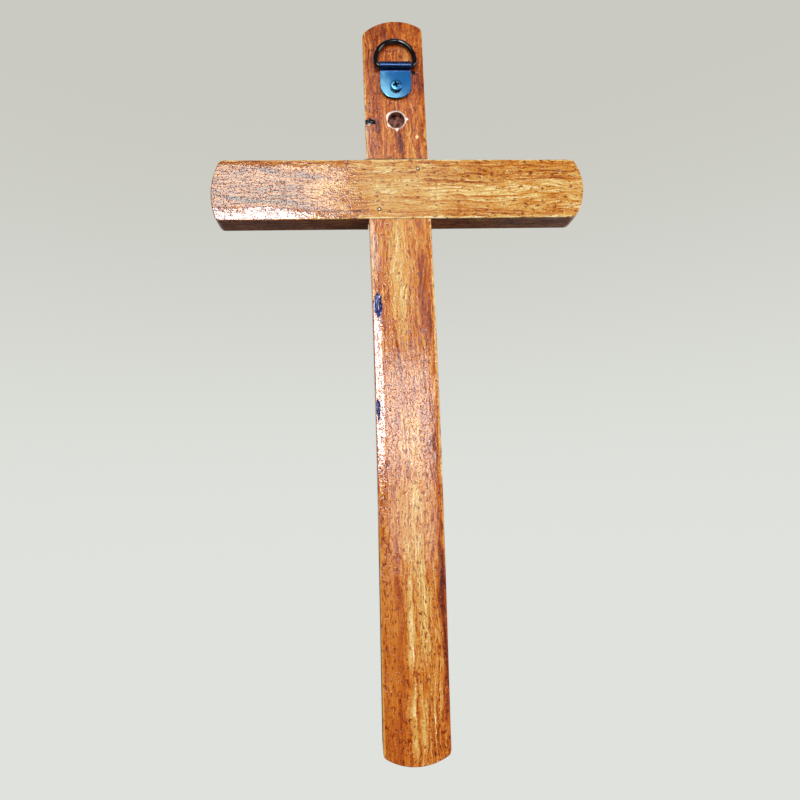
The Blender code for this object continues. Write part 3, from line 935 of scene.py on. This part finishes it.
# %% Sand the faces
EDGE_FALL = 0.16 * MM
FALL_REACH = 5.0 * MM
WAVE = 0.035 * MM
WAVE_RATES = Vector((40, 20, 28))
CELL = 4.0 * MM
CELL_INSETS = (1.6, 2.2, 2.9, 3.5, 4.3, 5.1, 5.8, 8.0, 10.4)
SPOT_FADE = 14 * MM
JOINT_FADE = 8 * MM
FACE_FADE = 4 * MM


def flat_spot(x, z, spots):
    """How far a sanded-off band lowers the back; rows are side, from, to, width and slope."""
    fall = 0.0
    for side, start, end, width, slope in spots:
        past = max(start * MM - z, z - end * MM, 0.0)
        reach = width * MM * max(0.0, 1 - past / SPOT_FADE)
        fall = max(fall, slope * (reach - (HALF - side * x)))
    return fall


def sand(bm, reach_low, reach_high, spots):
    """Moves the faces of a blank in, but not at the joint, where the two beams have to meet."""
    for inset in CELL_INSETS:
        slice_beam(bm, HALF - inset * MM, SIDEWAYS)
        slice_beam(bm, inset * MM - HALF, SIDEWAYS)
    for number in range(int((reach_low + reach_high) / CELL)):
        slice_beam(bm, CELL * (number + 0.5) - reach_low, UP)
    for vert in bm.verts:
        x, y, z = vert.co
        on_back = y < THICKNESS / 2
        from_face = y if on_back else THICKNESS - y
        into_edge = max(0.0, 1 - (HALF - abs(x)) / FALL_REACH)
        from_joint = min(1.0, max(0.0, (abs(z) - HALF) / JOINT_FADE))
        wave = noise.noise(vert.co * WAVE_RATES) * WAVE
        fall = EDGE_FALL * into_edge**2
        if on_back:
            fall = max(fall, flat_spot(x, z, spots))
        shift = (fall + wave) * from_joint * max(0.0, 1 - from_face / FACE_FADE)
        vert.co.y += shift if on_back else -shift


print("edges fall by", EDGE_FALL / MM, "mm")

# %% [markdown]
# ## Cutters: notch, nail hole and voids
#
# The nail hole was drilled by hand: its rim is chipped, worst below and to the right. The voids are old
# knots and the craters are small pits that the varnish ran into. All start as regular shapes, a turned
# profile or a sphere, and noise then moves their vertices, which gives a broken edge where they meet the
# face. The cutter's faces carry the slot numbers of the finishes above.

# %% Make the cutters
HOLE_RADIUS = 3.5 * MM
HOLE_DEPTH = 3.4 * MM
HOLE_BELOW_RING = 22.8 * MM
RIM_DEPTH = 0.5 * MM
CHIP_DEPTH = 0.3 * MM
CHIPS = ((-88, 0.30, 7), (2, 0.24, 7), (-140, 0.12, 16), (150, 0.10, 22))
ROUGH_RATE = 900
ROUGH_SHARE = 0.045
LUMPS = ((1.7, 0.45, 0), (4.5, 0.16, 9))


def nail_hole_cutter():
    """The hole, flared at its rim; each chip is its angle, its share of the radius and its spread."""
    flare = HOLE_RADIUS + 0.60 * MM
    wall = [(HOLE_RADIUS * 1.03, 0.42 * MM), (HOLE_RADIUS, 0.62 * MM),
            (HOLE_RADIUS * 0.985, HOLE_DEPTH * 0.6)]
    floor = [(HOLE_RADIUS * 0.97, HOLE_DEPTH), (HOLE_RADIUS * 0.5, HOLE_DEPTH + 0.3 * MM)]
    outside = [(0, -1.0 * MM), (flare * 1.06, -1.0 * MM), (flare, 0.02 * MM)]
    bm = turned(outside + wall + floor + [(0, HOLE_DEPTH + 0.6 * MM)], 72)
    for face in bm.faces:
        on_rim = face.calc_center_median().z < RIM_DEPTH
        face.material_index = WOOD_SLOTS["rim"] if on_rim else WOOD_SLOTS["raw"]
    for vert in bm.verts:
        angle = math.degrees(math.atan2(-vert.co.y, vert.co.x))
        rough = noise.noise(vert.co * ROUGH_RATE) * ROUGH_SHARE
        if vert.co.z < CHIP_DEPTH:
            for where, size, spread in CHIPS:
                away = (angle - where + 180) % 360 - 180
                rough += size * math.exp(-((away / spread) ** 2))
        vert.co.x *= 1 + rough
        vert.co.y *= 1 + rough
    place = (crossing.x, BACK, ring_axis.z - HOLE_BELOW_RING)
    return to_object("nail_hole_cutter", point_into_wood(bm, place))


def void_cutter(across, along, size, depth, seed, slot="void"):
    """A lumpy pit on the back face; across and along in millimetres from the crossing."""
    bm = bmesh.new()
    bmesh.ops.create_icosphere(bm, subdivisions=4, radius=1.0)
    for vert in bm.verts:
        lump = 0.0
        for rate, share, shift in LUMPS:
            lump += noise.noise(vert.co * rate + Vector((seed, shift, 0))) * share
        vert.co *= 1 + lump
    bmesh.ops.scale(bm, vec=(size[0] * MM, depth * MM, size[1] * MM), verts=bm.verts)
    bmesh.ops.translate(bm, vec=crossing + Vector((across, 0, along)) * MM, verts=bm.verts)
    give_slot(bm, WOOD_SLOTS[slot])
    return to_object("void_cutter", bm)


def notch_cutter(low, high):
    bm = block(low, high)
    # The notch's faces take the dark seam finish, a painted shade in the gaps.
    give_slot(bm, WOOD_SLOTS["seam"])
    return to_object("notch_cutter", bm)


print("nail hole", 2 * HOLE_RADIUS / MM, "mm wide,", HOLE_DEPTH / MM, "mm deep")

# %% [markdown]
# ## The upright
#
# The long beam carries everything: the halving for the crossbar, the nail hole, the screw's pilot hole and
# the voids of three old knots along its left edge, with a small knot and craters beside the hanger. Its wood
# moved a little as it dried, so it has a long shallow bend to the side.

# %% Make the upright
TONGUE = 6.0 * MM
SEAM_ABOVE = 0.34 * MM
SEAM_BELOW = 0.20 * MM
SEAM_DEPTH = 0.10 * MM
SPARE = 2.0 * MM
PIN_OFF = Vector((8.2, 0.0, 8.7)) * MM
PIN_RADIUS = 0.75 * MM
PIN_ROOM = 0.10 * MM
PIN_HOLE_DEPTH = 10.3 * MM
PILOT_RADIUS = 1.5 * MM
PILOT_DEPTH = 7.2 * MM
TOP_END = (upright_high.z - crossing.z, 6.0 * MM, 1.6 * MM)
FOOT_END = (crossing.z - upright_low.z, 4.0 * MM, 0.0)
WARP = 0.60 * MM
WARP_LENGTH = 178 * MM
UPRIGHT_FLAT_SPOTS = ((-1, -150, -50, 3.6, 0.12), (-1, -46, -12, 2.6, 0.10), (1, -150, -95, 2.2, 0.12))
UPRIGHT_VOIDS = (
    (-11.1, 29.3, (2.2, 1.3), 1.0, 1.0, "knot"),
    (7.9, 51.2, (0.9, 0.8), 0.9, 3.0, "knot"),
    (9.9, 51.6, (0.8, 0.6), 0.5, 4.0, "crater"),
    (11.2, 50.6, (0.6, 0.8), 0.5, 5.0, "crater"),
    (-10.0, -49.0, (1.7, 4.8), 0.9, 6.0),
    (-11.1, -91.0, (0.9, 4.2), 0.8, 7.0),
)
pin_places = [crossing + PIN_OFF, crossing - PIN_OFF]


def pin_drills():
    return [drill(PIN_RADIUS + PIN_ROOM, PIN_HOLE_DEPTH, place) for place in pin_places]


def make_upright():
    bm = beam_blank(TOP_END, FOOT_END, HALF - RIM_RADIUS, JOINT_EDGE + RIM_RADIUS)
    sand(bm, FOOT_END[0], TOP_END[0], UPRIGHT_FLAT_SPOTS)
    for vert in bm.verts:
        vert.co.x -= WARP * math.sin(math.pi * vert.co.z / WARP_LENGTH)
    bmesh.ops.translate(bm, vec=crossing, verts=bm.verts)
    upright = to_object("upright_wood", bm, [upright_wood] + CUT_FINISHES)
    side = HALF + SPARE
    low = crossing + Vector((-side, -SPARE / 2, -HALF - SEAM_BELOW))
    high = crossing + Vector((side, TONGUE + SEAM_DEPTH, HALF + SEAM_ABOVE))
    cutters = [notch_cutter(low, high), nail_hole_cutter()]
    cutters += [void_cutter(*row) for row in UPRIGHT_VOIDS]
    cutters += pin_drills()
    cutters.append(drill(PILOT_RADIUS, PILOT_DEPTH, Vector((ring_axis.x, BACK, SCREW_Z))))
    cut(upright, cutters)
    smooth(upright)
    even_normals(upright)
    return upright


upright = make_upright()
print("upright:", len(upright.data.polygons), "faces")

# %% [markdown]
# ## The crossbar
#
# The short beam is the same blank laid on its side. Turning by a quarter about Y sends its high end to the
# right, and what was right to below, so the shifts of its bowed ends change sign. Its front half is cut away
# for the upright. Along the lower left of its back, a band that was sanded off runs out towards the joint.

# %% Make the crossbar
SEAM_BESIDE = 0.16 * MM
RIGHT_END = (bar_high.x - crossing.x, 4.3 * MM, -0.4 * MM)
LEFT_END = (crossing.x - bar_low.x, 3.7 * MM, 1.8 * MM)
BAR_FLAT_SPOTS = (
    (1, -80, -50, 5.6, 0.12),
    (1, -50, -40, 4.6, 0.12),
    (1, -40, -30, 3.4, 0.12),
    (1, -30, -14, 2.2, 0.12),
)


def make_crossbar():
    bm = beam_blank(RIGHT_END, LEFT_END, JOINT_EDGE + RIM_RADIUS, HALF - RIM_RADIUS)
    sand(bm, LEFT_END[0], RIGHT_END[0], BAR_FLAT_SPOTS)
    turn(bm, 90, "Y")
    bmesh.ops.translate(bm, vec=crossing, verts=bm.verts)
    crossbar = to_object("crossbar_wood", bm, [bar_wood] + CUT_FINISHES)
    side = HALF + SPARE
    low = crossing + Vector((-HALF - SEAM_BESIDE, TONGUE, -side))
    high = crossing + Vector((HALF + SEAM_BESIDE, THICKNESS + SPARE / 2, side))
    cut(crossbar, [notch_cutter(low, high)] + pin_drills())
    smooth(crossbar)
    even_normals(crossbar)
    return crossbar


crossbar = make_crossbar()
print("crossbar:", len(crossbar.data.polygons), "faces")

# %% [markdown]
# ## The lap pins
#
# Two thin nails hold the lap, one at each of two opposite corners. Their heads are punched just level with
# the back and rubbed bright by sanding. Each head is a low dome whose middle is pale and whose sloping rim is
# dark brown, so it shows as a pale dot in a dark ring.

# %% Make the pins
PIN_PROFILE = ((0.0, -0.10), (0.62, -0.08), (0.80, 0.0), (1.0, 0.14), (1.0, 9.9), (0.0, 10.0))
BRIGHT_ABOVE = -0.085 * MM


def make_pin(name, place):
    """A nail; its profile is in shares of its radius and millimetres into the wood."""
    bm = turned([(PIN_RADIUS * share, height * MM) for share, height in PIN_PROFILE], 28)
    for face in bm.faces:
        face.material_index = 0 if face.calc_center_median().z < BRIGHT_ABOVE else 1
    pin = to_object(name, point_into_wood(bm, place), [pin_finish, pin_side_finish])
    smooth(pin, 50)
    return pin


pins = [make_pin(name, place) for name, place in zip(("pin_upper", "pin_lower"), pin_places)]
print("pins at", in_mm(pin_places[0]), "and", in_mm(pin_places[1]))

# %% [markdown]
# ## The folded strap
#
# The strap is one strip of sheet steel, bent round the ring's bar and back on itself. The natural way is the
# way it was made: the strip's outer line is drawn from the side, with arcs spun round the bar, then pushed
# sideways to its width and given its thickness. Its round end is trimmed with a shape like a tongue, and a
# Bevel softens the stamped edges so that they catch a thin light.

# %% Fold the strap
SHEET = 0.60 * MM
LOOP_RADIUS = 1.68 * MM
FOLD_GAP = 0.10 * MM
BEND_RADIUS = 0.60 * MM
STRAP_WIDTH = 13.0 * MM
STRAP_REACH = 14.0 * MM
STRAP_CORNER = 5.8 * MM
STRAP_TOP = LOOP_RADIUS - SHEET - FOLD_GAP - SHEET
ROLL_FOOT = 2.2 * MM
TRIM = 1.0 * MM


def strap_line(bm):
    """The outer line of the strip seen from the side, starting low on the wood's side."""
    low = -STRAP_REACH - TRIM
    bend_y = STRAP_TOP - BEND_RADIUS
    bend_z = -math.sqrt((LOOP_RADIUS + BEND_RADIUS) ** 2 - bend_y**2)
    wrap = math.tau + math.atan2(bend_z, bend_y)
    start = bm.verts.new((0, LOOP_RADIUS, low))
    knee = bm.verts.new((0, LOOP_RADIUS, 0))
    bm.edges.new((start, knee))
    loop = bmesh.ops.spin(bm, geom=[knee], cent=(0, 0, 0), axis=(1, 0, 0), angle=wrap, steps=48)
    bend = bmesh.ops.spin(bm, geom=verts_of(loop["geom_last"]), cent=(0, bend_y, bend_z), axis=(-1, 0, 0),
                          angle=wrap - math.pi, steps=12)
    heel = verts_of(bend["geom_last"])[0]
    bm.edges.new((heel, bm.verts.new((0, STRAP_TOP, low))))


def tongue_cutter():
    """The strip's outline from the front: straight sides and a round lower end."""
    half = STRAP_WIDTH / 2
    high = 4 * MM
    deep = 10 * MM
    bm = bmesh.new()
    spots = [(-half, high), (-half, -STRAP_REACH), (half, -STRAP_REACH), (half, high)]
    outline = [bm.verts.new((x, -deep / 2, z)) for x, z in spots]
    bm.faces.new(outline)
    bmesh.ops.bevel(bm, geom=outline[1:3], offset=STRAP_CORNER, offset_type="OFFSET", segments=20,
                    profile=0.5, affect="VERTICES", material=-1)
    pushed = bmesh.ops.extrude_face_region(bm, geom=bm.faces[:])["geom"]
    bmesh.ops.translate(bm, vec=(0, deep, 0), verts=verts_of(pushed))
    bmesh.ops.recalc_face_normals(bm, faces=bm.faces)
    bmesh.ops.translate(bm, vec=ring_axis, verts=bm.verts)
    give_slot(bm, 1)
    return to_object("tongue_cutter", bm)


def make_strap():
    bm = bmesh.new()
    strap_line(bm)
    bmesh.ops.translate(bm, vec=(-STRAP_WIDTH / 2 - TRIM, 0, 0), verts=bm.verts)
    pushed = bmesh.ops.extrude_edge_only(bm, edges=bm.edges[:])["geom"]
    bmesh.ops.translate(bm, vec=(STRAP_WIDTH + 2 * TRIM, 0, 0), verts=verts_of(pushed))
    bmesh.ops.recalc_face_normals(bm, faces=bm.faces)
    outwards = sum(face.normal.dot(face.calc_center_median()) * face.calc_area() for face in bm.faces)
    bmesh.ops.solidify(bm, geom=bm.faces[:], thickness=SHEET if outwards > 0 else -SHEET)
    bmesh.ops.recalc_face_normals(bm, faces=bm.faces)
    bmesh.ops.translate(bm, vec=ring_axis, verts=bm.verts)
    # The rolled loop's faces take the navy finish, a painted dark reflection; the flat plate keeps the paler
    # blue.
    for face in bm.faces:
        face.material_index = 2 if face.calc_center_median().z > ring_axis.z - ROLL_FOOT else 0
    strap = to_object("folded_strap", bm, [strap_finish, edge_shade_finish, loop_dark_reflection_finish])
    # The tongue's cut faces take the near-black edge finish, a painted shade.
    cut(strap, [tongue_cutter()], "INTERSECT")
    cut(strap, [drill(PILOT_RADIUS, 3 * MM, Vector((ring_axis.x, ring_axis.y, SCREW_Z)))])
    smooth(strap)
    soften = strap.modifiers.new("stamped_edges", "BEVEL")
    soften.width = 0.10 * MM
    soften.segments = 3
    soften.limit_method = "ANGLE"
    soften.angle_limit = math.radians(50)
    even_normals(strap)
    return strap


strap = make_strap()
strap_low, strap_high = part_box("hanger_strap")
print("strap:", in_mm(strap.dimensions, 2), "frame's:", in_mm(strap_high - strap_low, 2))

# %% [markdown]
# ## The D-ring
#
# The wire is round everywhere, while its path is a D with a straight bar, tight feet and a wide dome. A
# round section swept along a path is what a bevelled curve does best. Its points come from two ellipses, and
# the curve is turned into a mesh, leaned back onto the wood and put on the ring's axis.

# %% Bend the ring
WIRE_RADIUS = 1.0 * MM
BAR_HALF = 6.7 * MM
RING_BULGE = 1.48 * MM
RING_RISE = 11.7 * MM
RING_SHOULDER = 2.5 * MM
RING_GAP = 0.3 * MM
DOME_STEPS = 72
FOOT_STEPS = 12


def ring_line():
    """Half the D's foot, its dome, and the other foot mirrored."""
    foot = []
    for number in range(FOOT_STEPS):
        angle = math.pi / 2 * number / FOOT_STEPS
        foot.append((BAR_HALF + RING_BULGE * math.sin(angle), RING_SHOULDER * (1 - math.cos(angle))))
    dome = []
    for number in range(DOME_STEPS + 1):
        angle = math.pi * number / DOME_STEPS
        height = RING_SHOULDER + (RING_RISE - RING_SHOULDER) * math.sin(angle)
        dome.append(((BAR_HALF + RING_BULGE) * math.cos(angle), height))
    return foot + dome + [(-x, z) for x, z in reversed(foot)]


def make_ring():
    curve = bpy.data.curves.new("ring_path", "CURVE")
    curve.dimensions = "3D"
    curve.bevel_depth = WIRE_RADIUS
    curve.bevel_resolution = 6
    points = ring_line()
    wire = curve.splines.new("POLY")
    wire.points.add(len(points) - 1)
    for spot, (x, z) in zip(wire.points, points):
        spot.co = (x, 0, z, 1)
    wire.use_cyclic_u = True
    guide = bpy.data.objects.new("ring_path", curve)
    bpy.context.scene.collection.objects.link(guide)
    bm = bmesh.new()
    bm.from_mesh(baked_mesh(guide))
    bpy.data.objects.remove(guide, do_unlink=True)
    lean = math.degrees(math.asin((BACK - ring_axis.y - RING_GAP - WIRE_RADIUS) / RING_RISE))
    turn(bm, -lean, "X")
    bmesh.ops.translate(bm, vec=ring_axis, verts=bm.verts)
    bmesh.ops.recalc_face_normals(bm, faces=bm.faces)
    ring = to_object("wire_ring", bm, [ring_finish])
    smooth(ring, 60)
    return ring


ring = make_ring()

# %% [markdown]
# ## The screw
#
# A pan head is a low dome with a soft rim, spun from its side view. The cross recess is cut by two tapered
# bars at right angles, turned by the angle at which the real screw came to rest.

# %% Turn the screw
HEAD_RADIUS = 2.4 * MM
HEAD_HEIGHT = 1.6 * MM
HEAD_SIDE = 1.1 * MM
HEAD_PROFILE = ((0.96, 0.0), (1.0, 0.12), (1.0, 0.95), (0.985, 1.16), (0.95, 1.32), (0.89, 1.44),
                (0.80, 1.52), (0.62, 1.57), (0.30, 1.59))
HEAD_SEAT = STRAP_TOP - 0.02 * MM
SHANK_RADIUS = 1.3 * MM
SCREW_LENGTH = 9.0 * MM
SCREW_POINT = 2.0 * MM
RECESS_HALF = (1.5 * MM, 0.48 * MM)
RECESS_DEPTH = 1.2 * MM
RECESS_TURN = 14


def face_out(bm, name, finishes=()):
    """Turns a shape made along +Z so that it points out of the wood, at the screw's seat."""
    turn(bm, 90, "X")
    place = Vector((ring_axis.x, ring_axis.y + HEAD_SEAT, SCREW_Z))
    bmesh.ops.translate(bm, vec=place, verts=bm.verts)
    return to_object(name, bm, finishes)


def recess_bar(degrees):
    long, wide = RECESS_HALF
    bm = block((-long, -wide, HEAD_HEIGHT - RECESS_DEPTH), (long, wide, HEAD_HEIGHT + 1 * MM))
    deep = [vert for vert in bm.verts if vert.co.z < HEAD_HEIGHT]
    bmesh.ops.scale(bm, vec=(0.7, 0.8, 1), verts=deep)
    turn(bm, degrees, "Z")
    give_slot(bm, 1)
    return face_out(bm, "recess_cutter")


def make_screw():
    """Its head's profile is in shares of the head's radius and millimetres; the low side is painted near
    black as shade.
    """
    shank = [(0, -SCREW_LENGTH), (SHANK_RADIUS, SCREW_POINT - SCREW_LENGTH), (SHANK_RADIUS, 0)]
    head = [(HEAD_RADIUS * share, height * MM) for share, height in HEAD_PROFILE]
    bm = turned(shank + head + [(0, HEAD_HEIGHT)], 48)
    # Faces low on the head take the near-black edge finish, a painted shade.
    for face in bm.faces:
        face.material_index = 2 if face.calc_center_median().z < HEAD_SIDE else 0
    screw = face_out(bm, "pan_head_screw", [screw_finish, recess_shade_finish, edge_shade_finish])
    # The recess walls take the near-black finish, a painted shade.
    cut(screw, [recess_bar(RECESS_TURN), recess_bar(RECESS_TURN + 90)])
    smooth(screw, 40)
    return screw


screw = make_screw()
print("screw head", 2 * HEAD_RADIUS / MM, "mm across")

# %% [markdown]
# ## Tying the pieces to the frame
#
# Every piece stands for one node of the frame and moves with that node's body: all but the ring belong to
# the cross itself.

# %% Ride and replace
for piece, node, body, slot in (
    (upright, "upright", "cross", "upright_wood"),
    (crossbar, "crossbar", "cross", "crossbar_wood"),
    (strap, "hanger_strap", "cross", "blued_steel"),
    (screw, "hanger_screw", "cross", "blued_steel"),
    (pins[0], "lap_pin_upper", "cross", "pin_steel"),
    (pins[1], "lap_pin_lower", "cross", "pin_steel"),
    (ring, "d_ring", "ring", "black_steel"),
):
    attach(piece, body)
    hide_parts(node)
